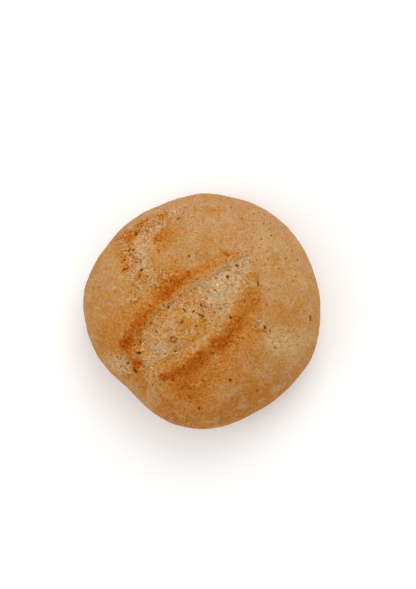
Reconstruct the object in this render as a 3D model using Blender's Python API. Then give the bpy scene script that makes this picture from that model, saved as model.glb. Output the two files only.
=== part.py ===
"""Country loaf: one round, free-standing loaf with a burst slash across its top.

The loaf is a single solid. A cube is cut into a grid, rounded into a ball and pressed to the loaf's
outline and side profile. The slash, its raised lips, the crease that runs from it down the side, the
small tear on the shoulder and the uneven crust are then pushed in or out along the crust's normals,
and the underside is sliced off flat.

Metres, +Z up, origin on the table under the middle of the loaf. "Along" and "across" are distances
along the slash's line and square to it, as seen from above.
"""

import math

import bmesh
import bpy
from mathutils import Matrix, Vector, noise

MM = 0.001

# Overall form. The underside would reach below the table if it were not sliced off flat
RADIUS = 82.3 * MM
HEIGHT = 76.0 * MM
WIDEST_AT = 25.0 * MM
DOME_FULLNESS = 2.2
UNDERSIDE_DEPTH = 32.0 * MM
UNDERSIDE_FULLNESS = 3.2
BOX_MIDDLE_X = -0.3 * MM
BOX_MIDDLE_Y = 0.9 * MM

# Places where the outline, seen from above, is fuller or flatter: heading, half-spread, how far
OUTLINE_CHANGES = (
    (math.radians(227), math.radians(27), -7.6 * MM),
    (math.radians(120), math.radians(24), -1.9 * MM),
    (math.radians(302), math.radians(24), -4.2 * MM),
    (math.radians(185), math.radians(20), 0.8 * MM),
    (math.radians(62), math.radians(16), 2.0 * MM),
)

# The opened slash: an almond with a blunt end at its start and a bent point at its finish
SLASH_HEADING = math.radians(41)
SLASH_START = -57.0 * MM
SLASH_LENGTH = 108.0 * MM
SLASH_ASIDE = -0.6 * MM
SLASH_TIP_BEND = 5.8 * MM
SLASH_BEND_LENGTH = 34.0 * MM
SLASH_HALF_WIDTH = 18.8 * MM
SLASH_START_TAPER = 0.35
SLASH_TIP_TAPER = 0.75
SLASH_DROP = 2.3 * MM
SLASH_WALL = 4.5 * MM
SLASH_END_FADE = 16.0 * MM
SLASH_TIP_FADE = 9.0 * MM
EDGE_WANDER = 1.5 * MM
EDGE_WANDER_LENGTH = 11.0 * MM

# The crumb that has burst up inside the slash
CROWN_RISE = 2.4 * MM
CRUMB_LUMP = 1.3 * MM
CRUMB_LUMP_SIZE = 7.0 * MM

# The lips of crust: on the side nearer the loaf's middle, and on the side nearer the small tear
NEAR_LIP_RISE = 2.1 * MM
FAR_LIP_RISE = 1.3 * MM
LIP_AT = 2.4 * MM
LIP_SPREAD = 5.0 * MM
LIP_UNEVENNESS = 0.6
LIP_UNEVENNESS_SIZE = 12.0 * MM

# The broad crease that carries the slash on down the side of the loaf
CREASE_ASIDE = -3.0 * MM
CREASE_HALF_WIDTH = 13.0 * MM
CREASE_DEPTH = 1.3 * MM
CREASE_FADE = 8.0 * MM

# The small tear on the loaf's shoulder, beside the slash
TEAR_ALONG = 5.0 * MM
TEAR_ASIDE = 56.5 * MM
TEAR_HALF_LENGTH = 28.0 * MM
TEAR_HALF_WIDTH = 10.0 * MM
TEAR_DROP = 1.8 * MM
TEAR_LIP_RISE = 1.1 * MM
TEAR_FLOOR_AT = 0.6
TEAR_RIM_AT = 1.2
TEAR_RIM_SPREAD = 0.3

# Uneven crust: (size of the unevenness, how far it swells)
CRUST_SWELLS = ((34.0 * MM, 1.5 * MM), (13.0 * MM, 0.6 * MM), (6.0 * MM, 0.28 * MM))
RELIEF_FADES_FROM = 9.0 * MM
RELIEF_FADES_TO = 1.5 * MM

# The grid of the solid: cuts along the slash, across it and down the side
CUTS_ALONG = 39
CUTS_ACROSS = 51
CUTS_DOWN = 17
ROW_CROWDING = 0.3
RIM_MERGE = 0.5 * MM

CRUST_COLOUR = (0.51, 0.25, 0.09, 1.0)
CRUST_ROUGHNESS = 0.8
SHARP_FROM = math.radians(60)


def smooth_step(low, high, value):
    share = min(1.0, max(0.0, (value - low) / (high - low)))
    return share * share * (3.0 - 2.0 * share)


def hump(distance, spread):
    return math.exp(-((distance / spread) ** 2))


def clear_scene():
    for obj in list(bpy.data.objects):
        bpy.data.objects.remove(obj)


def outline_radius(heading):
    """The loaf's radius at its widest level, in one direction."""
    radius = RADIUS
    for middle, spread, change in OUTLINE_CHANGES:
        radius += change * hump(math.remainder(heading - middle, math.tau), spread)
    return radius


def body_point(ball_point):
    """Where a point of a unit ball lies on the plain loaf, before any relief."""
    above = ball_point.z > 0.0
    depth = HEIGHT - WIDEST_AT if above else UNDERSIDE_DEPTH
    fullness = DOME_FULLNESS if above else UNDERSIDE_FULLNESS
    level = math.hypot(ball_point.x, ball_point.y)
    heading = math.atan2(ball_point.y, ball_point.x)
    radius = outline_radius(heading)
    run = level * RADIUS
    rise = abs(ball_point.z) * depth
    reach = ((run / radius) ** fullness + (rise / depth) ** fullness) ** (-1.0 / fullness)
    run *= reach
    rise *= reach if above else -reach
    return Vector(
        (
            run * math.cos(heading) - BOX_MIDDLE_X,
            run * math.sin(heading) - BOX_MIDDLE_Y,
            WIDEST_AT + rise,
        )
    )


def slash_half_width(along):
    """The almond's half-width. A low taper makes an end blunt and a high one makes it pointed."""
    share = (along - SLASH_START) / SLASH_LENGTH
    if not 0.0 < share < 1.0:
        return 0.0
    widest = SLASH_START_TAPER / (SLASH_START_TAPER + SLASH_TIP_TAPER)
    opening = (share / widest) ** SLASH_START_TAPER
    closing = ((1.0 - share) / (1.0 - widest)) ** SLASH_TIP_TAPER
    return SLASH_HALF_WIDTH * opening * closing


def slash_middle(along):
    """How far aside the slash's middle line lies. Its far tip bends towards the small tear."""
    tip = SLASH_START + SLASH_LENGTH
    return SLASH_ASIDE + SLASH_TIP_BEND * smooth_step(tip - SLASH_BEND_LENGTH, tip, along)


def slash_depth_share(along):
    """The slash runs out to nothing at both its ends."""
    tip = SLASH_START + SLASH_LENGTH
    opening = smooth_step(SLASH_START, SLASH_START + SLASH_END_FADE, along)
    return opening * smooth_step(tip, tip - SLASH_TIP_FADE, along)


def beyond_slash(along, across):
    """The distance outside the slash's edge, which is negative inside it."""
    aside = across - slash_middle(along)
    side = math.copysign(1.0, aside)
    wander = EDGE_WANDER * noise.noise(Vector((along / EDGE_WANDER_LENGTH, side, 0.0)))
    return abs(aside) - slash_half_width(along) - wander


def slash_relief(along, across, place):
    """Raised lips outside the slash's edge, and inside it a drop to the lumpy crumb."""
    beyond = beyond_slash(along, across)
    lip_rise = FAR_LIP_RISE if across > slash_middle(along) else NEAR_LIP_RISE
    if beyond > 0.0:
        unevenness = 1.0 + LIP_UNEVENNESS * noise.noise(place / LIP_UNEVENNESS_SIZE)
        return slash_depth_share(along) * lip_rise * unevenness * hump(beyond - LIP_AT, LIP_SPREAD)
    lip_edge = lip_rise * hump(LIP_AT, LIP_SPREAD)
    inside = smooth_step(0.0, SLASH_WALL, -beyond)
    crown = CROWN_RISE * smooth_step(SLASH_WALL, SLASH_HALF_WIDTH, -beyond)
    lump = CRUMB_LUMP * noise.noise(place / CRUMB_LUMP_SIZE)
    return slash_depth_share(along) * (lip_edge + inside * (crown + lump - SLASH_DROP - lip_edge))


def crease_relief(along, across):
    """The groove from the slash's blunt end over the shoulder, ending above the base."""
    aside = hump(across - CREASE_ASIDE, CREASE_HALF_WIDTH)
    return -CREASE_DEPTH * aside * smooth_step(SLASH_START + CREASE_FADE, SLASH_START - CREASE_FADE, along)


def tear_relief(along, across):
    """A shallow oval where the skin of the shoulder has torn, with a low rim."""
    out = math.hypot(
        (along - TEAR_ALONG) / TEAR_HALF_LENGTH, (across - TEAR_ASIDE) / TEAR_HALF_WIDTH
    )
    rim = TEAR_LIP_RISE * hump(out - TEAR_RIM_AT, TEAR_RIM_SPREAD)
    return rim - TEAR_DROP * smooth_step(TEAR_RIM_AT, TEAR_FLOOR_AT, out)


def crust_relief(place):
    return sum(swell * noise.noise(place / size) for size, swell in CRUST_SWELLS)


def relief(place):
    """How far the crust stands out from the plain body at a point."""
    turned = Matrix.Rotation(-SLASH_HEADING, 3, "Z") @ place
    along, across = turned.x, turned.y
    raised = (
        crust_relief(place)
        + slash_relief(along, across, place)
        + crease_relief(along, across)
        + tear_relief(along, across)
    )
    return raised * smooth_step(RELIEF_FADES_TO, RELIEF_FADES_FROM, place.z)


def crowded(share):
    """Draws the grid's rows, numbered from -1 to 1, towards the slash in the middle."""
    return share * (1.0 - ROW_CROWDING) + ROW_CROWDING * share**3


def cut_cube(bm):
    """A cube from -1 to 1, cut into the grid that becomes the loaf's surface."""
    bmesh.ops.create_cube(bm, size=2.0)
    for axis, cuts in enumerate((CUTS_ALONG, CUTS_ACROSS, CUTS_DOWN)):
        edges = [
            edge
            for edge in bm.edges
            if abs(edge.verts[0].co[axis] - edge.verts[1].co[axis]) > 1.0
        ]
        bmesh.ops.subdivide_edges(bm, edges=edges, cuts=cuts, use_grid_fill=True)


def round_to_ball(corner):
    """A point of the cube, moved onto the unit ball with the rows evenly apart."""
    spread = Vector(
        (
            math.tan(corner.x * math.pi / 4),
            math.tan(crowded(corner.y) * math.pi / 4),
            math.tan(corner.z * math.pi / 4),
        )
    )
    return Matrix.Rotation(SLASH_HEADING, 3, "Z") @ spread.normalized()


def bread_material():
    material = bpy.data.materials.new("baked_crust")
    material.use_nodes = True
    shader = material.node_tree.nodes["Principled BSDF"]
    shader.inputs["Base Color"].default_value = CRUST_COLOUR
    shader.inputs["Roughness"].default_value = CRUST_ROUGHNESS
    shader.inputs["Metallic"].default_value = 0.0
    return material


def slice_underside(bm):
    """Cuts off what lies below the table and closes the loaf with one flat face."""
    everything = bm.verts[:] + bm.edges[:] + bm.faces[:]
    table_up = (0.0, 0.0, 1.0)
    bmesh.ops.bisect_plane(
        bm, geom=everything, plane_co=(0.0, 0.0, 0.0), plane_no=table_up, clear_inner=True
    )
    rim = [vert for vert in bm.verts if vert.is_boundary]
    bmesh.ops.remove_doubles(bm, verts=rim, dist=RIM_MERGE)
    bmesh.ops.edgeloop_fill(bm, edges=[edge for edge in bm.edges if edge.is_boundary])


def make_loaf():
    bm = bmesh.new()
    cut_cube(bm)
    for vert in bm.verts:
        vert.co = body_point(round_to_ball(vert.co))
    bm.normal_update()
    offsets = [vert.normal * relief(vert.co) for vert in bm.verts]
    for vert, offset in zip(bm.verts, offsets, strict=True):
        vert.co += offset
    slice_underside(bm)
    bmesh.ops.recalc_face_normals(bm, faces=bm.faces)
    mesh = bpy.data.meshes.new("loaf")
    bm.to_mesh(mesh)
    bm.free()
    mesh.shade_smooth()
    mesh.set_sharp_from_angle(angle=SHARP_FROM)
    mesh.materials.append(bread_material())
    loaf = bpy.data.objects.new("loaf", mesh)
    bpy.context.scene.collection.objects.link(loaf)


clear_scene()
make_loaf()
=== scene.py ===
"""Country loaf: the crust, the open crumb of its slash, and the stage it is shown on.

Laid out as a Blender add-on and run as a script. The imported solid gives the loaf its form. A fine
grid is wrapped over that solid, masks say where the crust is browned, pale or torn open, and a
Geometry Nodes tree presses pores, pits and ripples into it. "Along" is measured along the slash and
"across" square to it, as seen from above, both from the loaf's middle. All in metres, +Z up.
"""

import math

import bmesh
import bpy
import numpy as np
from bpy.props import FloatProperty, FloatVectorProperty, IntProperty, PointerProperty
from mathutils import Matrix, Vector, noise
from mathutils.bvhtree import BVHTree


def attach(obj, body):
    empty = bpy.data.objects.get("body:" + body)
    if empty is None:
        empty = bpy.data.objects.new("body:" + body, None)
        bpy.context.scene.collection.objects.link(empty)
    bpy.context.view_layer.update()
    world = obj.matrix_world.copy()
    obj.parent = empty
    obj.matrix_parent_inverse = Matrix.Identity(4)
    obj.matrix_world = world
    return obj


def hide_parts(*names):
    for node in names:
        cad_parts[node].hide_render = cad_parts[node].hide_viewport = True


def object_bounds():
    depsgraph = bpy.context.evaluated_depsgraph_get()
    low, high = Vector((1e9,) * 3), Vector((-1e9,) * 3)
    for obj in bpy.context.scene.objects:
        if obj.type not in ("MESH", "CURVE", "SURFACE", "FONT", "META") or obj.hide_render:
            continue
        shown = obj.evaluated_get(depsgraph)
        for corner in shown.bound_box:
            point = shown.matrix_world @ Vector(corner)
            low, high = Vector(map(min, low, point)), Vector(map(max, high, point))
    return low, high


bl_info = {
    "name": "Country loaf",
    "version": (1, 0, 0),
    "blender": (4, 5, 0),
    "location": "3D View > Sidebar > Loaf",
    "description": "Bakes a round country loaf with a burst slash over its packed solid",
    "category": "Add Mesh",
}

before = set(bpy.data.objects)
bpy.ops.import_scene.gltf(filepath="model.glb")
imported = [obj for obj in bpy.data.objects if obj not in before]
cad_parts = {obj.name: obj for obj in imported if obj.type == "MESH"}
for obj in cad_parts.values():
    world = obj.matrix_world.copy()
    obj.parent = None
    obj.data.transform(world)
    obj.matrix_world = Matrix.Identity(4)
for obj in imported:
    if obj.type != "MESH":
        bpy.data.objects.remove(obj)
CAD_LOW, CAD_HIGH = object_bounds()
MM = 0.001
# Steps of lightness are even to the eye once a colour has been raised to one over this power
EYE_GAMMA = 2.2
# The slash: the share of its length at which it is widest, its tapers, and how its edge wanders
WIDEST_SHARE = 0.318
START_TAPER = 0.35
TIP_TAPER = 0.75
EDGE_WANDER = 1.5 * MM
EDGE_WANDER_LENGTH = 11 * MM
# The crust's marks show in full above the first height, and fade out down to the second
MARKS_FULL_ABOVE = 34 * MM
MARKS_GONE_BELOW = 16 * MM
# A place shows in full out to the first share of its half-size, and is gone beyond the second
PLACE_FULL_WITHIN = 0.35
PLACE_GONE_BEYOND = 1.7
# Sizes of the blotches that make the marks uneven, in millimetres
BROAD_BLOTCH_MM = 22.0
BLOTCH_MM = 6.0
FINE_BLOTCH_MM = 2.3
# How deep each kind of hollow goes, as a share of its radius
PORE_DEPTH = 0.9
BOWL_DEPTH = 0.28
PIT_DEPTH = 0.6
# Rays leave from a point this far up the loaf
HEART_SHARE = 0.33
# The share of the grid's rows across that are spread evenly; the rest crowd over the slash
EVEN_ROWS_SHARE = 0.72
# The deepest painted shade that a crater's ring reaches
RING_SHADE = 0.57
# The stage: where the two soft lights hang and how wide they are, and half the floor's width
KEY_PLACE = (0.25, 0.85, 1.0)
KEY_WIDTH = 0.9
FILL_PLACE = (-0.9, -0.3, 0.9)
FILL_WIDTH = 0.8
FLOOR_REACH = 3.0
# The loaf is widest at this share of its height, which is the level that the camera aims at
WIDEST_LEVEL_SHARE = 0.32


def linear(hex_colour):
    """An sRGB hex colour as linear red, green, blue and alpha."""
    channels = [int(hex_colour[i : i + 2], 16) / 255 for i in (1, 3, 5)]
    return [c / 12.92 if c <= 0.04045 else ((c + 0.055) / 1.055) ** 2.4 for c in channels] + [1.0]


def per_mm(size_mm):
    """The scale of a pattern whose features are this many millimetres apart."""
    return 1000.0 / size_mm


def length(default_mm, name, description):
    return FloatProperty(
        name=name,
        description=description,
        default=default_mm * MM,
        precision=5,
        subtype="DISTANCE",
        unit="LENGTH",
    )


def colour(default_hex, name, description):
    return FloatVectorProperty(
        name=name,
        description=description,
        default=linear(default_hex),
        size=4,
        min=0,
        max=1,
        subtype="COLOR",
    )


def angle(default_degrees, name, description):
    return FloatProperty(
        name=name,
        description=description,
        default=math.radians(default_degrees),
        subtype="ANGLE",
        unit="ROTATION",
    )


class LoafSizes(bpy.types.PropertyGroup):
    """Where the slash lies, and how fine the loaf's grid is."""

    slash_heading: angle(41, "Slash heading", "Turn of the slash from +X, seen from above")
    slash_start: length(-57.0, "Slash start", "Where the slash's blunt end lies along it")
    slash_length: length(108.0, "Slash length", "From the blunt end to the tip")
    slash_aside: length(-0.6, "Slash aside", "How far the slash lies beside the loaf's middle")
    slash_tip_bend: length(5.8, "Tip bend", "How far the tip bends aside")
    slash_bend_length: length(34.0, "Bend length", "The length over which the tip bends")
    slash_half_width: length(18.8, "Slash half-width", "Half the slash's width at its widest")
    # towards this heading the crust is painted browner: partly crust that baked more, partly painted shade
    # on the side turned from the key light
    hot_and_shaded_side: angle(258, "Hot side", "Heading of the side that baked browner")
    rows_along: IntProperty(name="Rows along", description="Grid cuts along the slash", default=205)
    rows_across: IntProperty(name="Rows across", description="Grid cuts across the slash", default=230)
    rows_down: IntProperty(name="Rows down", description="Grid cuts down the side", default=54)


class CrumbSizes(bpy.types.PropertyGroup):
    """The sizes of pores, pits, ripples and flakes."""

    pore_spacing: length(3.5, "Pore spacing", "Least distance between small pores in the crumb")
    pore_radius: length(0.55, "Pore radius", "Mean radius of the small pores")
    bowl_spacing: length(6.5, "Bowl spacing", "Least distance between shallow bowls in the crumb")
    bowl_radius: length(2.0, "Bowl radius", "Mean radius of the shallow bowls")
    pit_spacing: length(5.0, "Pit spacing", "Least distance between pits in the crust")
    pit_radius: length(0.6, "Pit radius", "Mean radius of the pits")
    strand_size: length(2.0, "Strand size", "Width of the crumb's stretched strands")
    strand_height: length(0.5, "Strand height", "How far those strands stand up")
    ripple_size: length(2.2, "Ripple size", "Width of the crust's fine ripples")
    ripple_height: length(0.22, "Ripple height", "How far those ripples stand up")
    flake_spacing: length(1.5, "Flake spacing", "Least distance between dry flakes in torn places")
    flake_length: length(1.3, "Flake length", "Mean length of a dry flake")


class BreadColours(bpy.types.PropertyGroup):
    """Colours of the crust and the crumb."""

    # on the hot side this deep crust is partly painted shade
    crust_deep_and_shaded: colour("#b27029", "Deep crust", "Where the crust is browner")
    crust_tan: colour("#bb8b54", "Tan crust", "The crust over most of the loaf")
    crust_pink: colour("#bd8f6b", "Pink crust", "Patches with a rosier, chalkier tone")
    crust_gold: colour("#bb8542", "Golden crust", "Patches with a yellower tone")
    crust_pale: colour("#c29e6e", "Pale crust", "Patches that browned least")
    lip_gold: colour("#bb7f40", "Golden lip", "Where browning begins beside the slash")
    lip_orange: colour("#b76f26", "Orange lip", "Browned crust along the slash")
    lip_dark: colour("#a85913", "Dark lip", "The darkest browning on the lips")
    crumb_tan: colour("#c38d50", "Crumb", "The dry crumb in the slash")
    crumb_pale: colour("#c8aa82", "Pale crumb", "The palest crumb in the slash")
    crumb_gold: colour("#c2822f", "Golden crumb", "Toasted crumb in the slash")
    # painted shade: the hollows are darkened in colour as well as sunk into the relief
    hollow_shade: colour("#8a4a0c", "Hollow", "The bottoms of pores and pits")
    base_brown: colour("#9c6428", "Base", "The underside, browned on the baking stone")


class StageSettings(bpy.types.PropertyGroup):
    """Floor, light and camera."""

    floor_white: colour("#fdfdfc", "Floor", "Colour of the plain floor")
    elevation: angle(86, "Elevation", "Height of the camera above the horizon")
    view_height: length(411.0, "View height", "Height of the picture at the loaf's widest level")
    aim_right: length(4.2, "Aim right", "How far right of the loaf's middle the camera aims")
    aim_up: length(11.5, "Aim up", "How far above the loaf's middle it aims, in the picture")
    lens_mm: FloatProperty(name="Lens", description="Focal length in millimetres", default=85.0)
    key_watts: FloatProperty(name="Key light", description="Power of the large soft light", default=5.8)
    fill_watts: FloatProperty(name="Fill light", description="Power of the fill light", default=2.4)
    world_strength: FloatProperty(name="World", description="Strength of the even light", default=0.85)


# Places on the loaf: along, across, half-length and half-width in millimetres, turn from the slash's
# line in degrees, and strength. Browning of 0.5 is golden, 1 orange and 1.5 dark.
BROWN_PLACES = (
    # the lip on the left of the slash, from its tip to its blunt end
    (35.2, 17, 3.4, 1.0, -75, 0.9),
    (30, 17, 9, 3.5, -10, 0.35),
    (39, 11, 5, 2.5, -30, 0.55),
    (16, 19, 10, 3.6, -8, 0.6),
    (8, 21.5, 5, 2.4, -15, 0.7),
    (-3, 21, 9, 3, 0, 0.8),
    (2, 25, 7, 5, -15, 0.75),
    (-6, 25.5, 8, 5, 0, 1.0),
    (-5, 33, 12, 6, 0, 0.3),
    (-15, 21.5, 5, 5, 40, 1.3),
    (-26, 19.5, 6, 3.2, 0, 0.6),
    (-36, 19.5, 8, 4.4, 0, 0.95),
    (-30, 26, 12, 6, 0, 0.35),
    (-48, 16, 7, 5, 14, 1.25),
    (-46, 27, 16, 12, 0, 0.35),
    (-38, 42, 14, 9, 0, 0.15),
    (-20, 30, 8, 8, 0, 0.15),
    (-55, 14, 4, 5, 35, 1.4),
    (-50.5, 10, 4, 2.6, 25, 0.9),
    (-57.5, 9, 2.5, 3.5, 0, 0.9),
    (-58, 32, 8, 16, 0, 0.3),
    # the lip on its right
    (39.5, -8, 2.6, 3.6, 40, 0.6),
    (25, -14, 8, 3, 14, 0.6),
    (28, -19, 8, 4.5, 20, 0.5),
    (16, -23, 6, 5, 15, 0.8),
    (9, -24, 6, 5, 15, 0.95),
    (0, -27, 7, 5, 5, 1.15),
    (-9, -26, 5.5, 5.5, 0, 1.35),
    (-23, -25.5, 5.5, 5, 0, 1.4),
    (-32, -24.5, 8, 4.2, -8, 1.35),
    (-42, -22.4, 7, 3.8, -18, 1.3),
    (-38, -17.5, 7, 1.8, -12, 0.8),
    (-40, -29, 7, 4, -10, 0.6),
    (-49, -18.4, 3.8, 2.4, -25, 1.6),
    # browning that fades away from that lip
    (28, -25, 9, 6, 20, 0.5),
    (14, -33, 6, 10, 0, 0.4),
    (2, -32, 8, 4, 0, 0.5),
    (0, -37, 18, 9, 0, 0.5),
    (-28, -36, 18, 9, 0, 0.75),
    (-44, -33, 8, 12, 0, 0.95),
    (-36, -48, 18, 10, 0, 0.45),
    (-52, -28, 6, 8, 0, 0.35),
    # the blunt end
    (-57.5, 0.3, 3.6, 3.6, 0, 1.5),
    (-61.5, -2.8, 3, 1.4, -85, 0.9),
    # round the small tear
    (8, 54.8, 4, 2.4, 0, 1.15),
    (14, 53.5, 6, 3.4, 10, 0.75),
    (15, 49.5, 7, 3.4, 0, 0.5),
    (6, 49, 4, 3.5, 30, 0.5),
    (-4, 68.3, 4.5, 2.6, 10, 1.3),
    (-6.5, 72, 4, 2, 10, 1.1),
    (-7.5, 64.5, 2.2, 3, 0, 0.8),
    (-11, 61.5, 3, 2, 0, 0.8),
    (6, 70.3, 8, 2.6, 0, 0.8),
    (20, 66, 5, 4, 0, 0.6),
    (-17, 65, 4, 4, 0, 0.45),
    (-17.8, 57.8, 2.4, 2.2, 0, 1.2),
    (-21.5, 53.5, 4, 2.4, 0, 0.9),
    (-16.5, 44, 3.4, 1.1, 30, 0.8),
    (-20, 41, 7, 4, 0, 0.4),
    # toasted round a pore
    (-15.5, 1, 3.2, 2.2, 0, 0.9),
    # small toasted spots elsewhere
    (18, 50, 14, 9, 0, 0.25),
    (56, -10, 8, 11, 0, 0.35),
    (50, -40, 8, 8, 0, 0.3),
    (49, 45, 6, 2.4, -40, 0.4),
    (50, 46, 10, 14, 40, 0.2),
    (40, -45, 8, 6, 0, 0.3),
    (-2, -61.5, 3.6, 2.4, 0, 0.4),
    (-45, -50, 2.5, 2, 0, 0.5),
)
# Crust that browned least
PALE_PLACES = (
    (29, 63.5, 8, 5, 0, 0.5),
    (-12, 35.5, 2.4, 5, -10, 0.7),
    (60, 3, 13, 13, 0, 0.55),
    (34, -10.5, 3, 2.4, 0, 0.8),
    (20, -33, 4, 6, 10, 0.8),
    (23, -50, 10, 7, -60, 0.6),
    (30, -60, 14, 8, 0, 0.6),
    (54, -20, 12, 12, 0, 0.35),
    (-29, -51, 9, 6, -30, 0.35),
    (-32.3, 34, 2.6, 2.2, 0, 1.4),
    (-24, 43.3, 1.8, 1.6, 0, 1.3),
    (-35.3, 48.6, 1.6, 1.4, 0, 1.3),
    (-30, 20.5, 1.4, 1.2, 0, 1.3),
    (-13.5, 36, 1.6, 3, 0, 1.0),
    (-54, -13, 6, 4, -30, 0.7),
    (-66, 7, 6, 8, 20, 0.7),
    (-74, -6, 7, 30, 0, 0.45),
    (-11, 47, 7, 5, 40, 0.8),
    (12.5, 59.5, 4, 2.4, 0, 0.7),
)
# Crumb showing outside the slash: in the small tear and past the blunt end
BARE_PLACES = (
    (-2.5, 58, 8, 8, 0, 1.0),
    (-11, 49, 5, 6, 0, 0.7),
    (-56, -12, 4, 8, 12, 0.6),
    (-66, 6, 4, 6, 20, 0.7),
)
# Crumb that stayed pale
PALE_CRUMB_PLACES = (
    (18, 2, 16, 9, 4, 1.0),
    (38, 3, 10, 5, 8, 0.9),
    (-15, 14, 5, 3.5, 0, 0.8),
    (-42, -4, 9, 6, -10, 0.7),
    (-33, 8, 9, 6, 0, 0.5),
    (-13, -16.5, 5, 2.4, 5, 0.8),
    (-2.5, 57, 7, 7, 0, 0.5),
    (-65, 7, 6, 8, 20, 0.6),
    (8, 12, 8, 4, -10, 0.5),
    (6, -12, 12, 4, 5, 0.6),
    (-11, 49, 6, 6, 0, 0.8),
)
# Crumb that toasted
GOLD_CRUMB_PLACES = (
    (-13, -9.5, 9, 5, 0, 0.8),
    (-1, -11, 7, 4, 10, 0.3),
    (-14, 1, 6, 4, 0, 0.4),
    (-43, -12, 8, 3, -5, 0.5),
    (-26, -12, 8, 4, 0, 0.4),
    (-47, 7.5, 5, 3, 0, 0.7),
    (0, 6, 9, 6, 0, 0.35),
    (-30, 11, 6, 3, 0, 0.6),
    # these two thin strokes along the crumb's edge under the left lip are partly toasted crumb, partly
    # painted shade cast by that lip
    (-24, 15.5, 20, 2.2, 3, 1.0),
    (-45, 11, 7, 2.2, 25, 0.9),
)
# Where threads and flakes of dough stand up
TORN_PLACES = (
    (-12, 56, 9, 14, -20, 1.5),
    (0, 69, 14, 6, -12, 1.4),
    (8, 58, 10, 10, 0, 1.0),
    (22, 63, 12, 8, 0, 1.1),
    (-16, 44, 10, 8, 0, 1.2),
    (-8, 29, 10, 9, 0, 1.5),
    (-30, 33, 7, 9, 0, 1.0),
    (-62, 0, 8, 15, 8, 1.1),
    (-51, -17, 5, 5, 0, 1.3),
    (-16, -27, 5, 6, 0, 0.9),
    (20, -36, 6, 9, 0, 1.1),
    (24, -52, 12, 7, -20, 0.6),
    (-60, -50, 8, 8, 0, 0.9),
    (-45, -48, 16, 8, 0, 0.3),
)
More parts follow.
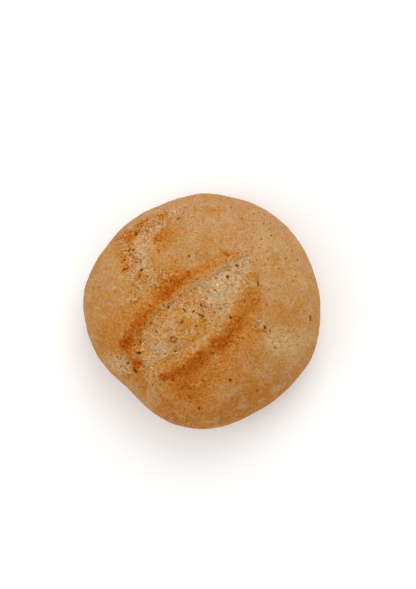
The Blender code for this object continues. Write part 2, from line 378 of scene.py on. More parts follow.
# Single holes and slits, their strength telling how deep they go and how much painted shade darkens them
HOLES = (
    # in the slash
    (0.4, 0.6, 1.6, 0.6, -85, 1.0),
    (-4, -4.4, 2.3, 0.7, -66, 1.4),
    (-1.2, -3, 1.0, 0.5, -80, 0.7),
    (-10.3, 5.5, 1.8, 0.6, -100, 1.1),
    (-6.2, 1, 1.0, 0.6, 10, 1.0),
    (-16.9, 14, 1.3, 0.5, 49, 1.0),
    (-5.3, 8.2, 1.7, 0.8, -41, 0.5),
    (-18.6, 3.9, 1.5, 1.0, 49, 0.4),
    (-16.6, 0.6, 1.7, 1.2, 20, 0.7),
    (9.7, 15.3, 1.7, 0.6, -41, 0.6),
    (10.5, 5.2, 1.3, 0.8, 49, 0.5),
    (-46.2, 9.1, 1.5, 0.6, 49, 0.9),
    (-39.4, 1.3, 1.0, 0.7, -41, 0.7),
    (-32.4, 13.6, 1.2, 1.1, 0, 0.6),
    (-36.4, 16, 1.4, 0.5, 49, 0.8),
    (-32.5, -10.9, 1.3, 0.5, -41, 0.9),
    (-38.5, -8, 1.0, 0.8, 0, 0.6),
    (-11.2, -7.7, 0.9, 0.6, 10, 0.7),
    (-9.8, -14.2, 1.6, 0.6, 40, 0.6),
    (-4, -9.5, 1.2, 0.6, -41, 0.6),
    (5.9, 1.9, 1.2, 0.6, -30, 0.5),
    (5.8, -3.2, 1.2, 0.6, 0, 0.5),
    (-18.9, -4.5, 1.3, 0.6, -30, 0.5),
    (-33.3, 7.3, 1.4, 0.6, 49, 0.5),
    (-27.3, 9.1, 1.2, 0.6, 20, 0.5),
    (-0.8, -15.9, 1.2, 0.6, 0, 0.5),
    (26.2, 4, 1.2, 1.1, 0, 1.1),
    (36.2, 5.3, 1.1, 0.7, -60, 1.0),
    (29.9, 6.2, 1.0, 0.6, 0, 0.6),
    (44, 2.1, 1.1, 0.6, 50, 0.7),
    (8.7, -9.1, 1.0, 0.6, -41, 0.6),
    (18.2, -12.2, 1.2, 0.5, 50, 0.6),
    (9.6, -18, 1.3, 0.7, -41, 0.9),
    (-52, 4.6, 1.6, 0.8, -41, 2.0),
    # in the crust about it
    (15.8, 31.2, 1.1, 0.9, 0, 0.8),
    (8.4, 22.9, 1.2, 0.9, 0, 0.6),
    (-12.2, 27.6, 0.9, 1.1, 0, 0.8),
    (-25.5, 23.2, 1.8, 0.6, -80, 0.8),
    (-31.2, 31.4, 2.2, 0.6, 20, 0.7),
    (-27.7, 32.8, 1.2, 0.6, 30, 0.5),
    (-25, 41.2, 1.4, 0.5, 10, 0.5),
    (-36.4, 46.6, 1.3, 0.5, 10, 0.5),
    (38.7, -13, 2.4, 0.7, 52, 0.8),
    (31.8, -22, 1.2, 0.6, 49, 0.6),
    (23.1, -38.1, 0.9, 0.9, 0, 1.6),
    (-14.9, -28.1, 1.6, 0.9, -60, 0.8),
    (-62.1, 4.7, 1.4, 0.8, -50, 0.8),
    (-61.6, -2.8, 2.4, 0.8, -88, 1.0),
    (-65.8, 3.2, 2.6, 0.5, -85, 0.6),
    (-17.6, -49.2, 0.9, 1.1, 0, 1.0),
    (24.2, -42, 1.6, 0.7, 60, 0.6),
    (19.6, -52.7, 1.8, 0.7, -40, 0.6),
    (52, -53.4, 2.4, 0.8, 50, 0.8),
    (-45.3, -50, 1.1, 1.1, 0, 0.8),
    (-8.2, -66.7, 1.2, 0.9, 0, 0.8),
    # about the small tear
    (-0.6, 67.8, 1.2, 0.9, 0, 1.1),
    (-6.9, 71.1, 1.6, 0.8, 20, 0.7),
    (-11.8, 61.9, 1.3, 0.8, -45, 1.0),
    (-17.8, 57.8, 0.9, 0.8, 0, 1.2),
    (-19.9, 53, 1.4, 0.8, 10, 0.7),
    (-14.3, 45.8, 1.0, 1.0, 0, 1.3),
    (2.7, 47.1, 1.8, 0.6, 40, 0.6),
    (27.5, 56.7, 1.0, 1.4, 45, 0.8),
    (22.1, 58.7, 1.4, 0.8, -40, 0.6),
    (23.4, 63.4, 1.0, 1.0, 0, 0.7),
    (11.4, 70.6, 1.8, 0.8, -10, 0.6),
    (-3.5, 73, 1.5, 0.7, 0, 0.6),
    (-8.7, 62.6, 1.2, 0.6, 30, 0.6),
    (-9.2, 59.7, 1.6, 0.7, -30, 0.8),
    (-19, 65.5, 1.2, 0.8, 50, 0.6),
    (-22.6, 53.6, 1.7, 0.7, 10, 0.8),
    (-17.5, 43, 1.8, 0.7, 30, 0.7),
    (3, 66.2, 1.6, 0.6, -20, 0.6),
    (7.3, 55.8, 1.2, 0.7, 0, 0.6),
    (19, 69, 1.5, 0.7, 0, 0.7),
    (20.5, 64.3, 1.2, 0.7, 50, 0.8),
    (33, 57, 1.0, 0.8, 0, 0.6),
)
# Small craters: a ring of painted shade about a pale grain
CRATERS = (
    (-28.8, -4.2, 2.6, 2.2, 0, 0.8),
    (-11.2, 51.8, 2.6, 2.0, 0, 0.6),
)


def smooth_step(low, high, value):
    share = np.clip((value - low) / (high - low), 0.0, 1.0)
    return share * share * (3.0 - 2.0 * share)


def clouds(points, size_mm, octaves=4):
    """Uneven values from about -1 to 1 at these points, in blotches of this many millimetres."""
    scale = per_mm(size_mm)
    return np.array([noise.fractal(point * scale, 0.8, 2.0, octaves) for point in points])


def beyond_slash(along, across, sizes):
    """The distance outside the slash's edge, which is negative inside it."""
    share = np.clip((along - sizes.slash_start) / sizes.slash_length, 1e-6, 1.0 - 1e-6)
    from_start, from_tip = share / WIDEST_SHARE, (1.0 - share) / (1.0 - WIDEST_SHARE)
    half_width = sizes.slash_half_width * from_start**START_TAPER * from_tip**TIP_TAPER
    tip = sizes.slash_start + sizes.slash_length
    bend = sizes.slash_tip_bend * smooth_step(tip - sizes.slash_bend_length, tip, along)
    aside = across - sizes.slash_aside - bend
    wander = [
        noise.noise(Vector((a / EDGE_WANDER_LENGTH, math.copysign(1.0, b), 0.0)))
        for a, b in zip(along, aside)
    ]
    return np.abs(aside) - half_width - EDGE_WANDER * np.array(wander)


def painted(places, along, across, ragged, most=1.5):
    """How strongly these places show at each point, with ragged edges."""
    left = np.ones(len(along))
    for middle_along, middle_across, half_length, half_width, turn, strength in places:
        dx, dy = along / MM - middle_along, across / MM - middle_across
        c, s = math.cos(math.radians(turn)), math.sin(math.radians(turn))
        out = np.hypot((dx * c + dy * s) / half_length, (dy * c - dx * s) / half_width)
        shows = smooth_step(PLACE_GONE_BEYOND, PLACE_FULL_WITHIN, out + ragged)
        left *= 1.0 - strength / most * shows
    return most * (1.0 - left)


def surface_masks(points, sizes):
    """The named masks that the relief and the finish read, at each of these points."""
    turned = Matrix.Rotation(-sizes.slash_heading, 3, "Z")
    along, across, height = np.array([turned @ point for point in points]).T
    uneven, fine, broad = (
        clouds(points, size) for size in (BLOTCH_MM, FINE_BLOTCH_MM, BROAD_BLOTCH_MM)
    )
    ragged = 0.35 * uneven + 0.25 * fine
    above = smooth_step(MARKS_GONE_BELOW, MARKS_FULL_ABOVE, height)

    def shown(places, most=1.0, edge=ragged):
        return painted(places, along, across, edge, most) * above

    inside = -beyond_slash(along, across, sizes) + 1.2 * MM * fine + 1.5 * MM * uneven

    def beside_slash(reach, full_to, gone_by):
        """Strong just outside the slash's edge, and fading out along it towards the tip."""
        return smooth_step(reach, 1 * MM, -inside) * smooth_step(gone_by, full_to, along) * above

    crumb = smooth_step(-2.4 * MM, 2.2 * MM, inside) * above
    crumb *= smooth_step(sizes.slash_start, sizes.slash_start + 6 * MM, along + 3 * MM * uneven)
    crumb = np.maximum(crumb, shown(BARE_PLACES))
    # the named places, over a faint browning of both lips
    lips = beside_slash(15 * MM, 36 * MM, 52 * MM)
    brown = (shown(BROWN_PLACES, 1.6) + 0.25 * lips * (1.0 + 0.5 * uneven)) * (1.0 + 0.35 * fine)
    close = beside_slash(6 * MM, 40 * MM, 60 * MM)
    torn = np.maximum.reduce(
        [0.8 * crumb, 0.8 * close, shown(TORN_PLACES, 1.5), 0.75 * np.clip(brown, 0, 1)]
    )
    # the craters' rings, left off their pale grains, join the holes as painted shade
    pale_grains = [(*place[:2], 0.9, 0.8, 0, 1) for place in CRATERS]
    ring_shade = shown(CRATERS, edge=2.2 * ragged) * smooth_step(0.0, 0.5, 1.0 - shown(pale_grains))
    hole = shown([(*place[:5], min(1.0, place[5])) for place in HOLES], edge=0.3 * fine)
    # the crust goes from browner on the hot side, partly painted shade on the side turned from the key
    # light, to rosier on the cool one
    outward = np.array([math.cos(sizes.hot_and_shaded_side), math.sin(sizes.hot_and_shaded_side)])
    flat = np.array([(point.x, point.y) for point in points]) @ outward + 14 * MM * broad
    return {
        "crumb": crumb,
        "browning": np.maximum(brown, 0.0),
        "paleness": np.clip(shown(PALE_PLACES, 1.5) * (1.0 + 0.3 * fine), 0.0, 1.0),
        "crumb_tone": shown(PALE_CRUMB_PLACES) - shown(GOLD_CRUMB_PLACES),
        "torn": torn * smooth_step(-0.9, 0.3, uneven),
        "hole": np.maximum(hole, np.minimum(ring_shade, RING_SHADE)),
        "dent": shown(HOLES + CRATERS, 2.5, 0.1 * fine) * MM,
        "baked_and_shaded": smooth_step(-20 * MM, 75 * MM, flat) - smooth_step(-25 * MM, -65 * MM, flat),
        "hold": smooth_step(1 * MM, 6 * MM, height),
    }


def cut_cube(cuts_each_way):
    """A cube from -1 to 1, cut into a fine grid."""
    bm = bmesh.new()
    bmesh.ops.create_cube(bm, size=2.0)
    for axis, cuts in enumerate(cuts_each_way):
        edges = [e for e in bm.edges if abs(e.verts[0].co[axis] - e.verts[1].co[axis]) > 1.0]
        bmesh.ops.subdivide_edges(bm, edges=edges, cuts=cuts, use_grid_fill=True)
    return bm


def wrap_over_solid(bm, solid, sizes):
    """Moves a cube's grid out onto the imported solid, along rays from inside the loaf."""
    tree = BVHTree.FromObject(solid, bpy.context.evaluated_depsgraph_get())
    heart = Vector((0.0, 0.0, HEART_SHARE * CAD_HIGH.z))
    half_size = Vector((CAD_HIGH.x, CAD_HIGH.y, CAD_HIGH.z - heart.z))
    turn = Matrix.Rotation(sizes.slash_heading, 3, "Z")
    for vert in bm.verts:
        x, y, z = vert.co
        rows = (x, EVEN_ROWS_SHARE * y + (1.0 - EVEN_ROWS_SHARE) * y**3, z)
        ball = Vector([math.tan(row * math.pi / 4) for row in rows])
        hit = tree.ray_cast(heart, ((turn @ ball) * half_size).normalized())[0]
        if hit is None:
            raise RuntimeError("a ray from inside the loaf missed its solid")
        vert.co = hit


def close_underside(bm):
    """One flat face in place of the grid's cells on the table."""
    flat = [face for face in bm.faces if all(vert.co.z < 0.02 * MM for vert in face.verts)]
    bmesh.ops.delete(bm, geom=flat, context="FACES")
    rim = [edge for edge in bm.edges if edge.is_boundary]
    bmesh.ops.edgeloop_fill(bm, edges=rim)


def add_node(tree, kind, settings, inputs, output=None):
    """Adds a node and returns it, or one of its outputs. An input is a socket, linked, or a value."""
    node = tree.nodes.new(kind)
    for name, value in settings.items():
        setattr(node, name, value)
    for key, value in inputs.items():
        if isinstance(value, bpy.types.NodeSocket):
            tree.links.new(value, node.inputs[key])
        else:
            node.inputs[key].default_value = value
    return node if output is None else node.outputs[output]


def hollows_group():
    """A node group that scatters uneven hollows over a surface and says how deep each goes."""
    tree = bpy.data.node_groups.new("scattered_hollows", "GeometryNodeTree")
    for name, kind in (
        ("Surface", "NodeSocketGeometry"),
        ("Where", "NodeSocketFloat"),
        ("Spacing", "NodeSocketFloat"),
        ("Radius", "NodeSocketFloat"),
        ("Depth", "NodeSocketFloat"),
        ("Slash", "NodeSocketVector"),
        ("Seed", "NodeSocketInt"),
    ):
        tree.interface.new_socket(name, in_out="INPUT", socket_type=kind)
    for name in ("Hollow", "Drop"):
        tree.interface.new_socket(name, in_out="OUTPUT", socket_type="NodeSocketFloat")
    given = add_node(tree, "NodeGroupInput", {}, {}).outputs
    scatter = {
        "Mesh": given["Surface"],
        "Distance Min": given["Spacing"],
        "Density Max": 1.0e6,
        "Density Factor": given["Where"],
        "Seed": given["Seed"],
    }
    poisson = {"distribute_method": "POISSON"}
    points = add_node(tree, "GeometryNodeDistributePointsOnFaces", poisson, scatter, "Points")
    nearest = add_node(tree, "GeometryNodeSampleNearest", {}, {"Geometry": points}, "Index")
    here = add_node(tree, "GeometryNodeInputPosition", {}, {}, "Position")
    sample = {"Geometry": points, "Value": here, "Index": nearest}
    vectors = {"data_type": "FLOAT_VECTOR", "domain": "POINT"}
    middle = add_node(tree, "GeometryNodeSampleIndex", vectors, sample, "Value")
    chance = {"Min": 0.5, "Max": 1.45, "ID": nearest, "Seed": given["Seed"]}
    uneven = add_node(tree, "FunctionNodeRandomValue", {"data_type": "FLOAT"}, chance, 1)
    radius = add_node(tree, "ShaderNodeMath", {"operation": "MULTIPLY"}, {0: given["Radius"], 1: uneven}, 0)
    away = add_node(tree, "ShaderNodeVectorMath", {"operation": "SUBTRACT"}, {0: here, 1: middle}, 0)
    # strands pull each hollow longer across the slash than along it
    lengthways = {0: away, 1: given["Slash"]}
    lengthways = add_node(tree, "ShaderNodeVectorMath", {"operation": "DOT_PRODUCT"}, lengthways, "Value")
    squeeze = {0: given["Slash"], 1: lengthways, 2: away}
    squeeze = add_node(tree, "ShaderNodeVectorMath", {"operation": "MULTIPLY_ADD"}, squeeze, 0)
    gap = add_node(tree, "ShaderNodeVectorMath", {"operation": "LENGTH"}, {0: squeeze}, "Value")
    ratio = add_node(tree, "ShaderNodeMath", {"operation": "DIVIDE"}, {0: gap, 1: radius}, 0)
    wobble = {"Vector": here, "Scale": per_mm(1.7), "Detail": 2.0}
    wobble = add_node(tree, "ShaderNodeTexNoise", {}, wobble, "Fac")
    wobble = add_node(tree, "ShaderNodeMath", {"operation": "MULTIPLY_ADD"}, {0: wobble, 1: 1.4, 2: 0.3}, 0)
    shaped = add_node(tree, "ShaderNodeMath", {"operation": "MULTIPLY"}, {0: ratio, 1: wobble}, 0)
    profile = {"Value": shaped, "From Min": 1.0, "From Max": 0.25, "To Min": 0.0, "To Max": 1.0}
    eased = {"interpolation_type": "SMOOTHSTEP"}
    hollow = add_node(tree, "ShaderNodeMapRange", eased, profile, "Result")
    deep = add_node(tree, "ShaderNodeMath", {"operation": "MULTIPLY"}, {0: radius, 1: given["Depth"]}, 0)
    drop = add_node(tree, "ShaderNodeMath", {"operation": "MULTIPLY"}, {0: hollow, 1: deep}, 0)
    add_node(tree, "NodeGroupOutput", {}, {"Hollow": hollow, "Drop": drop})
    return tree


# The sizes that each Geometry Nodes tree takes as inputs
RELIEF_SIZES = (
    "pore_spacing",
    "pore_radius",
    "bowl_spacing",
    "bowl_radius",
    "pit_spacing",
    "pit_radius",
    "strand_size",
    "strand_height",
    "ripple_size",
    "ripple_height",
)
FLAKE_SIZES = ("flake_spacing", "flake_length")


def surface_tree(name, size_names):
    """A Geometry Nodes tree that a surface passes through, and its inputs: that surface and sizes."""
    tree = bpy.data.node_groups.new(name, "GeometryNodeTree")
    tree.interface.new_socket("Geometry", in_out="INPUT", socket_type="NodeSocketGeometry")
    for size_name in size_names:
        tree.interface.new_socket(size_name, in_out="INPUT", socket_type="NodeSocketFloat")
    tree.interface.new_socket("Geometry", in_out="OUTPUT", socket_type="NodeSocketGeometry")
    return tree, add_node(tree, "NodeGroupInput", {}, {}).outputs


def within_solid_box(tree, position):
    """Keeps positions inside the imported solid's box."""
    for operation, corner in (("MINIMUM", CAD_HIGH), ("MAXIMUM", CAD_LOW)):
        kept = {0: position, 1: corner}
        position = add_node(tree, "ShaderNodeVectorMath", {"operation": operation}, kept, 0)
    return position


def relief_tree(finish, slash_heading):
    """The Geometry Nodes tree that presses pores, pits and ripples into the loaf."""
    tree, given = surface_tree("bread_relief", RELIEF_SIZES)
    floats = {"data_type": "FLOAT"}
    crumb, hold, hole, dent = (
        add_node(tree, "GeometryNodeInputNamedAttribute", floats, {"Name": name}, "Attribute")
        for name in ("crumb", "hold", "hole", "dent")
    )
    here = add_node(tree, "GeometryNodeInputPosition", {}, {}, "Position")
    evened = {"Value": here, "Iterations": 8, "Weight": hold}
    evened = add_node(tree, "GeometryNodeBlurAttribute", {"data_type": "FLOAT_VECTOR"}, evened, "Value")
    smoothed = {"Geometry": given["Geometry"], "Position": evened}
    surface = add_node(tree, "GeometryNodeSetPosition", {}, smoothed, "Geometry")

    crust = add_node(tree, "ShaderNodeMath", {"operation": "SUBTRACT"}, {0: hold, 1: crumb}, 0)
    slash = Vector((math.cos(slash_heading), math.sin(slash_heading), 0.0))
    hollows = hollows_group()
    hollow_marks, drops = [hole], [dent]
    for where, kind, depth, seed in (
        (crumb, "pore", PORE_DEPTH, 3),
        (crumb, "bowl", BOWL_DEPTH, 8),
        (crust, "pit", PIT_DEPTH, 5),
    ):
        scatter = {
            "Surface": surface,
            "Where": where,
            "Spacing": given[kind + "_spacing"],
            "Radius": given[kind + "_radius"],
            "Depth": depth,
            "Slash": slash * 0.8,
            "Seed": seed,
        }
        found = add_node(tree, "GeometryNodeGroup", {"node_tree": hollows}, scatter).outputs
        drops.append(found["Drop"])
        if kind != "bowl":
            hollow_marks.append(found["Hollow"])
    deepest = []
    for values in (hollow_marks, drops):
        most = values[0]
        for value in values[1:]:
            most = add_node(tree, "ShaderNodeMath", {"operation": "MAXIMUM"}, {0: most, 1: value}, 0)
        deepest.append(most)
    hollow, drop = deepest

    # strands run across the slash, so their pattern is squeezed along it
    squeezed = {0: slash, 1: here}
    squeezed = add_node(tree, "ShaderNodeVectorMath", {"operation": "DOT_PRODUCT"}, squeezed, "Value")
    squeezed = {0: slash * 0.7, 1: squeezed, 2: here}
    squeezed = add_node(tree, "ShaderNodeVectorMath", {"operation": "MULTIPLY_ADD"}, squeezed, 0)
    waves = []
    for where, size, detail in ((squeezed, "strand_size", 4.0), (here, "ripple_size", 5.0)):
        scale = add_node(tree, "ShaderNodeMath", {"operation": "DIVIDE"}, {0: 1.0, 1: given[size]}, 0)
        wave = {"Vector": where, "Scale": scale, "Detail": detail, "Roughness": 0.62}
        wave = add_node(tree, "ShaderNodeTexNoise", {}, wave, "Fac")
        level = {"Value": wave, "From Min": 0.3, "From Max": 0.7, "To Min": -1.0, "To Max": 1.0}
        waves.append(add_node(tree, "ShaderNodeMapRange", {}, level, "Result"))
    strand, ripple = waves
    rises = [
        add_node(tree, "ShaderNodeMath", {"operation": "MULTIPLY"}, {0: wave, 1: given[height]}, 0)
        for wave, height in ((strand, "strand_height"), (ripple, "ripple_height"))
    ]
    rise, grain = (
        add_node(tree, "ShaderNodeMix", floats, {0: crumb, 2: in_crust, 3: in_crumb}, 0)
        for in_crust, in_crumb in ((rises[1], rises[0]), (ripple, strand))
    )
    rise = add_node(tree, "ShaderNodeMath", {"operation": "SUBTRACT"}, {0: rise, 1: drop}, 0)
    rise = add_node(tree, "ShaderNodeMath", {"operation": "MULTIPLY"}, {0: rise, 1: hold}, 0)
    normal = add_node(tree, "GeometryNodeInputNormal", {}, {}, "Normal")
    moved = {0: normal, 1: rise, 2: here}
    moved = add_node(tree, "ShaderNodeVectorMath", {"operation": "MULTIPLY_ADD"}, moved, 0)
    moved = within_solid_box(tree, moved)

    for name, value in (("hollow", hollow), ("grain", grain)):
        stored = {"Geometry": surface, "Name": name, "Value": value}
        points = {"data_type": "FLOAT", "domain": "POINT"}
        surface = add_node(tree, "GeometryNodeStoreNamedAttribute", points, stored, "Geometry")
    surface = add_node(
        tree, "GeometryNodeSetPosition", {}, {"Geometry": surface, "Position": moved}, "Geometry"
    )
    surface = add_node(tree, "GeometryNodeRealizeInstances", {}, {"Geometry": surface}, "Geometry")
    surface = add_node(
        tree, "GeometryNodeSetMaterial", {}, {"Geometry": surface, "Material": finish}, "Geometry"
    )
    add_node(tree, "NodeGroupOutput", {}, {"Geometry": surface})
    return tree


def flakes_tree(finish):
    """The Geometry Nodes tree that beds small dry flakes in the torn places."""
    tree, given = surface_tree("bedded_flakes", FLAKE_SIZES)
    floats, vectors = {"data_type": "FLOAT"}, {"data_type": "FLOAT_VECTOR"}
    torn, hollow = (
        add_node(tree, "GeometryNodeInputNamedAttribute", floats, {"Name": name}, "Attribute")
        for name in ("torn", "hollow")
    )
    bare = add_node(tree, "ShaderNodeMath", {"operation": "SUBTRACT"}, {0: torn, 1: hollow}, 0)
    scatter = {
        "Mesh": given["Geometry"],
        "Distance Min": given["flake_spacing"],
        "Density Max": 1.0e6,
        "Density Factor": bare,
        "Seed": 11,
    }
    poisson = {"distribute_method": "POISSON"}
    found = add_node(tree, "GeometryNodeDistributePointsOnFaces", poisson, scatter).outputs
    points = found["Points"]
    tone = {2: -1.2, 3: 1.0, "Seed": 2}
    tone = add_node(tree, "FunctionNodeRandomValue", floats, tone, 1)
    for name, value in (("grain", tone), ("hollow", 0.0)):
        stored = {"Geometry": points, "Name": name, "Value": value}
        points = add_node(tree, "GeometryNodeStoreNamedAttribute", floats, stored, "Geometry")
    lean = {0: Vector((-0.45, -0.45, 0.0)), 1: Vector((0.45, 0.45, math.tau)), "Seed": 4}
    lean = add_node(tree, "FunctionNodeRandomValue", vectors, lean, 0)
    lean = add_node(tree, "FunctionNodeEulerToRotation", {}, {0: lean}, 0)
    turned = {"Rotation": found["Rotation"], "Rotate By": lean}
    turned = add_node(tree, "FunctionNodeRotateRotation", {"rotation_space": "LOCAL"}, turned, 0)
    size = {0: Vector((0.3, 0.13, 0.1)), 1: Vector((0.7, 0.28, 0.22)), "Seed": 6}
    size = add_node(tree, "FunctionNodeRandomValue", vectors, size, 0)
    scaled = {0: size, "Scale": given["flake_length"]}
    scaled = add_node(tree, "ShaderNodeVectorMath", {"operation": "SCALE"}, scaled, 0)
    grain = {"Radius": 1.0, "Subdivisions": 1}
    grain = add_node(tree, "GeometryNodeMeshIcoSphere", {}, grain, "Mesh")
    placed = {"Points": points, "Instance": grain, "Rotation": turned, "Scale": scaled}
    flakes = add_node(tree, "GeometryNodeInstanceOnPoints", {}, placed, "Instances")
    flakes = add_node(tree, "GeometryNodeRealizeInstances", {}, {"Geometry": flakes}, "Geometry")
    moved = add_node(tree, "GeometryNodeInputPosition", {}, {}, "Position")
    moved = within_solid_box(tree, moved)
    flakes = add_node(
        tree, "GeometryNodeSetPosition", {}, {"Geometry": flakes, "Position": moved}, "Geometry"
    )
    flakes = add_node(tree, "GeometryNodeSetShadeSmooth", {}, {"Geometry": flakes}, "Geometry")
    flakes = add_node(
        tree, "GeometryNodeSetMaterial", {}, {"Geometry": flakes, "Material": finish}, "Geometry"
    )
    add_node(tree, "NodeGroupOutput", {}, {"Geometry": flakes})
    return tree


def plain_mesh(obj, tree, settings):
    """Runs a Geometry Nodes tree on an object and leaves its result as a plain mesh."""
    modifier = obj.modifiers.new(tree.name, "NODES")
    modifier.node_group = tree
    for item in tree.interface.items_tree:
        if item.in_out == "INPUT" and item.name in settings:
            modifier[item.identifier] = settings[item.name]
    graph = bpy.context.evaluated_depsgraph_get()
    made = bpy.data.meshes.new_from_object(obj.evaluated_get(graph), depsgraph=graph)
    obj.modifiers.remove(modifier)
    obj.data = made


def baked_bread(colours):
    """Baked bread: a thin, dry, matt crust mottled tan and gold, round soft open crumb."""
    material = bpy.data.materials.new("baked_bread")
    material.use_nodes = True
    tree = material.node_tree
    shader = tree.nodes["Principled BSDF"]
    place = add_node(tree, "ShaderNodeTexCoord", {}, {}, "Object")
    masks = {
        name: add_node(tree, "ShaderNodeAttribute", {"attribute_name": name}, {}, "Fac")
        for name in ("crumb", "browning", "paleness", "crumb_tone", "torn", "hollow", "grain", "baked_and_shaded")
    }
    patterns = {}
    for name, kind, size_mm, detail, twist in (
        ("broad", "FBM", 22.0, 2.0, 0.0),
        ("cloud", "FBM", 13.0, 1.0, 0.3),
        ("blush", "FBM", 8.0, 0.0, 0.5),
        ("patch", "FBM", 4.6, 0.0, 0.5),
        ("light_strand", "RIDGED_MULTIFRACTAL", 4.2, 1.0, 3.0),
        ("dark_strand", "RIDGED_MULTIFRACTAL", 4.0, 1.0, 3.0),
        ("grit", "FBM", 1.4, 1.0, 0.8),
    ):
        moved = {"Vector": place, "Location": Vector((size_mm, 0.0, 0.0))}
        moved = add_node(tree, "ShaderNodeMapping", {}, moved, "Vector")
        pattern = {"Vector": moved, "Scale": per_mm(size_mm), "Detail": detail, "Distortion": twist}
        patterns[name] = add_node(tree, "ShaderNodeTexNoise", {"noise_type": kind}, pattern, "Fac")
    height = add_node(tree, "ShaderNodeSeparateXYZ", {}, {"Vector": place}, "Z")
    # patches break up the edges of the browned places
    broken = {0: patterns["patch"], 1: 0.5, 2: masks["browning"]}
    broken = add_node(tree, "ShaderNodeMath", {"operation": "MULTIPLY_ADD"}, broken, 0)

    def between(value, low, high, least, most):
        """A mask that passes from one amount to another as a value passes between two levels."""
        reach = {"Value": value, "From Min": low, "From Max": high, "To Min": least, "To Max": most}
        return add_node(tree, "ShaderNodeMapRange", {"interpolation_type": "SMOOTHSTEP"}, reach, "Result")

    def layered(ground, layers):
        """Lays colours over a ground, each where a pattern passes from one value to another."""
        for pattern, low, high, most, tint in layers:
            coat = {0: between(pattern, low, high, 0.0, most), 6: ground, 7: tint}
            ground = add_node(tree, "ShaderNodeMix", {"data_type": "RGBA"}, coat, 2)
        return ground

    crust = layered(
        colours.crust_tan,
        (
            (patterns["broad"], 0.55, 0.35, 0.4, colours.crust_deep_and_shaded),
            # browner towards the hot side, partly painted shade there, and rosier towards the cool side
            (masks["baked_and_shaded"], 0.0, 1.0, 0.9, colours.crust_deep_and_shaded),
            (masks["baked_and_shaded"], 0.0, -1.0, 0.5, colours.crust_pink),
            (height, 46 * MM, 16 * MM, 0.55, colours.crust_pink),
            (patterns["blush"], 0.5, 0.75, 0.45, colours.crust_pink),
            (patterns["blush"], 0.5, 0.25, 0.5, colours.crust_gold),
            (patterns["cloud"], 0.5, 0.7, 0.5, colours.crust_pale),
            (masks["paleness"], 0.0, 1.0, 1.0, colours.crust_pale),
            (broken, 0.35, 0.8, 1.0, colours.lip_gold),
            (broken, 0.8, 1.35, 1.0, colours.lip_orange),
            (broken, 1.35, 1.8, 1.0, colours.lip_dark),
        ),
    )
    crumb = layered(
        colours.crumb_tan,
        (
            (patterns["blush"], 0.5, 0.7, 0.4, colours.crust_pink),
            (patterns["blush"], 0.5, 0.3, 0.4, colours.crust_gold),
            (masks["crumb_tone"], 0.0, 1.0, 0.8, colours.crumb_pale),
            (masks["crumb_tone"], 0.0, -1.0, 0.8, colours.crumb_gold),
            (patterns["patch"], 0.5, 0.75, 0.45, colours.crumb_pale),
            (patterns["patch"], 0.5, 0.25, 0.35, colours.crumb_gold),
            (broken, 0.6, 1.6, 0.8, colours.lip_orange),
        ),
    )
    bread = layered(
        crust,
        (
            (masks["crumb"], 0.0, 1.0, 1.0, crumb),
            # painted shade in the pores, pits, listed holes and craters' rings
            (masks["hollow"], 0.15, 0.8, 1.0, colours.hollow_shade),
            (height, 9 * MM, 0.5 * MM, 0.75, colours.base_brown),
        ),
    )
    # fine strands, lighter and darker by even steps to the eye, and strongest where the dough is torn
    threads = -0.024
    for pattern, middle, quiet, torn in (
        ("light_strand", 0.0, 0.09, 0.34),
        ("dark_strand", 0.0, -0.13, -0.45),
        ("grit", 0.5, 0.2, 0.62),
    ):
        strong = between(masks["torn"], 0.0, 1.5, quiet, torn)
        swing = {0: patterns[pattern], 1: middle}
        swing = add_node(tree, "ShaderNodeMath", {"operation": "SUBTRACT"}, swing, 0)
        threads = {0: swing, 1: strong, 2: threads}
        threads = add_node(tree, "ShaderNodeMath", {"operation": "MULTIPLY_ADD"}, threads, 0)
    raised = {0: masks["grain"], 1: 0.02, 2: threads}
    threads = add_node(tree, "ShaderNodeMath", {"operation": "MULTIPLY_ADD"}, raised, 0)
    evened = add_node(tree, "ShaderNodeGamma", {}, {"Color": bread, "Gamma": 1 / EYE_GAMMA}, "Color")
    for operation, other in (("ADD", threads), ("MAXIMUM", Vector((0.0, 0.0, 0.0)))):
        evened = add_node(tree, "ShaderNodeVectorMath", {"operation": operation}, {0: evened, 1: other}, 0)
    bread = add_node(tree, "ShaderNodeGamma", {}, {"Color": evened, "Gamma": EYE_GAMMA}, "Color")
    tree.links.new(bread, shader.inputs["Base Color"])
    shader.inputs["Roughness"].default_value = 0.85
    shader.inputs["Specular IOR Level"].default_value = 0.06
    roughened = {"Strength": 1.0, "Distance": 1.0 * MM, "Height": threads}
    bump = add_node(tree, "ShaderNodeBump", {}, roughened, "Normal")
    tree.links.new(bump, shader.inputs["Normal"])
    return material


def matt_paper(base_colour):
    """Matt paper: a plain floor that shows soft shadows and no gloss."""
    material = bpy.data.materials.new("matt_paper")
    material.use_nodes = True
    shader = material.node_tree.nodes["Principled BSDF"]
    shader.inputs["Base Color"].default_value = base_colour
    shader.inputs["Roughness"].default_value = 0.95
    shader.inputs["Specular IOR Level"].default_value = 0.1
    return material


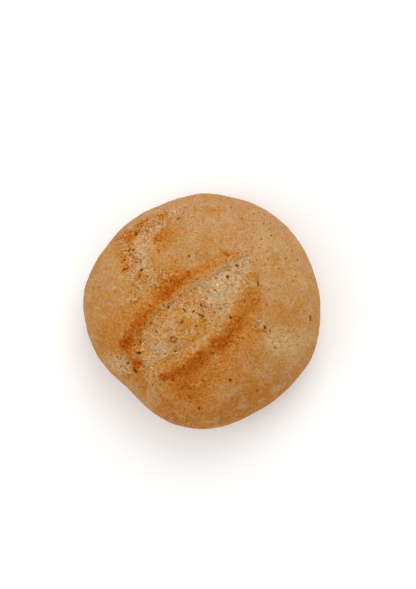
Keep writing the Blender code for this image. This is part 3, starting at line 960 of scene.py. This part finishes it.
class COUNTRYLOAF_OT_bake_loaf(bpy.types.Operator):
    """Makes the loaf: its fine surface, its masks, its pores and its finish"""

    bl_idname = "country_loaf.bake_loaf"
    bl_label = "Bake the loaf"

    def execute(self, context):
        sizes = context.scene.loaf_sizes
        bm = cut_cube((sizes.rows_along, sizes.rows_across, sizes.rows_down))
        wrap_over_solid(bm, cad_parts["loaf"], sizes)
        close_underside(bm)
        bmesh.ops.recalc_face_normals(bm, faces=bm.faces)
        mesh = bpy.data.meshes.new("country_loaf")
        bm.to_mesh(mesh)
        bm.free()
        points = [vert.co.copy() for vert in mesh.vertices]
        for name, values in surface_masks(points, sizes).items():
            attribute = mesh.attributes.new(name, "FLOAT", "POINT")
            attribute.data.foreach_set("value", values.astype(np.float32))
        mesh.shade_smooth()
        loaf = bpy.data.objects.new("country_loaf", mesh)
        context.scene.collection.objects.link(loaf)
        finish = baked_bread(context.scene.bread_colours)
        settings = {name: getattr(context.scene.crumb_sizes, name) for name in RELIEF_SIZES}
        plain_mesh(loaf, relief_tree(finish, sizes.slash_heading), settings)
        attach(loaf, "root")
        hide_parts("loaf")
        return {"FINISHED"}


class COUNTRYLOAF_OT_bed_flakes(bpy.types.Operator):
    """Beds small dry flakes in the torn crumb and along the lips of the slash"""

    bl_idname = "country_loaf.bed_flakes"
    bl_label = "Bed the flakes"

    def execute(self, context):
        loaf = bpy.data.objects["country_loaf"]
        flakes = bpy.data.objects.new("dry_flakes", loaf.data.copy())
        context.scene.collection.objects.link(flakes)
        settings = {name: getattr(context.scene.crumb_sizes, name) for name in FLAKE_SIZES}
        plain_mesh(flakes, flakes_tree(bpy.data.materials["baked_bread"]), settings)
        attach(flakes, "root")
        return {"FINISHED"}


class COUNTRYLOAF_OT_set_stage(bpy.types.Operator):
    """Makes the pale floor, the soft studio light and the camera that looks down on the loaf"""

    bl_idname = "country_loaf.set_stage"
    bl_label = "Set the stage"

    def execute(self, context):
        scene, stage = context.scene, context.scene.stage_settings
        self.add_floor(scene, stage)
        self.add_light(scene, "key_light", KEY_PLACE, KEY_WIDTH, stage.key_watts)
        self.add_light(scene, "fill_light", FILL_PLACE, FILL_WIDTH, stage.fill_watts)
        world = bpy.data.worlds.new("even_light")
        world.use_nodes = True
        world.node_tree.nodes["Background"].inputs["Color"].default_value = (1.0, 1.0, 1.0, 1.0)
        world.node_tree.nodes["Background"].inputs["Strength"].default_value = stage.world_strength
        scene.world = world
        scene.view_settings.view_transform = "Standard"
        self.add_camera(scene, stage)
        return {"FINISHED"}

    def add_floor(self, scene, stage):
        mesh = bpy.data.meshes.new("floor")
        reach = FLOOR_REACH
        corners = [(-reach, -reach, 0), (reach, -reach, 0), (reach, reach, 0), (-reach, reach, 0)]
        mesh.from_pydata(corners, [], [(0, 1, 2, 3)])
        mesh.materials.append(matt_paper(stage.floor_white))
        floor = bpy.data.objects.new("floor", mesh)
        scene.collection.objects.link(floor)

    def add_light(self, scene, name, place, width, watts):
        data = bpy.data.lights.new(name, "AREA")
        data.energy = watts
        data.size = width
        light = bpy.data.objects.new(name, data)
        light.location = place
        light.rotation_euler = (-Vector(place)).to_track_quat("-Z", "Y").to_euler()
        scene.collection.objects.link(light)

    def add_camera(self, scene, stage):
        data = bpy.data.cameras.new("camera")
        data.lens = stage.lens_mm
        away = stage.view_height * data.lens / data.sensor_width
        back = Vector((0.0, -math.cos(stage.elevation), math.sin(stage.elevation)))
        widest_level = WIDEST_LEVEL_SHARE * CAD_HIGH.z
        aim = Vector((stage.aim_right, stage.aim_up / math.sin(stage.elevation), widest_level))
        camera = bpy.data.objects.new("camera", data)
        camera.location = aim + back * away
        camera.rotation_euler = back.to_track_quat("Z", "Y").to_euler()
        scene.collection.objects.link(camera)
        scene.camera = camera


class COUNTRYLOAF_PT_sidebar(bpy.types.Panel):
    """The loaf's settings and the steps that make it"""

    bl_idname = "COUNTRYLOAF_PT_sidebar"
    bl_label = "Country loaf"
    bl_space_type = "VIEW_3D"
    bl_region_type = "UI"
    bl_category = "Loaf"

    def draw(self, context):
        for group in SETTINGS:
            settings = getattr(context.scene, group)
            box = self.layout.box()
            for name in settings.bl_rna.properties.keys():
                if name not in ("rna_type", "name"):
                    box.prop(settings, name)
        for step in STEPS:
            self.layout.operator(step.bl_idname)


SETTINGS = {
    "loaf_sizes": LoafSizes,
    "crumb_sizes": CrumbSizes,
    "bread_colours": BreadColours,
    "stage_settings": StageSettings,
}
STEPS = (COUNTRYLOAF_OT_bake_loaf, COUNTRYLOAF_OT_bed_flakes, COUNTRYLOAF_OT_set_stage)


def register():
    for made in (*SETTINGS.values(), *STEPS, COUNTRYLOAF_PT_sidebar):
        bpy.utils.register_class(made)
    for name, group in SETTINGS.items():
        setattr(bpy.types.Scene, name, PointerProperty(type=group))


def unregister():
    for name in SETTINGS:
        delattr(bpy.types.Scene, name)
    for made in (COUNTRYLOAF_PT_sidebar, *STEPS, *SETTINGS.values()):
        bpy.utils.unregister_class(made)


def main():
    register()
    bpy.ops.country_loaf.bake_loaf()
    bpy.ops.country_loaf.bed_flakes()
    bpy.ops.country_loaf.set_stage()


if __name__ == "__main__":
    main()
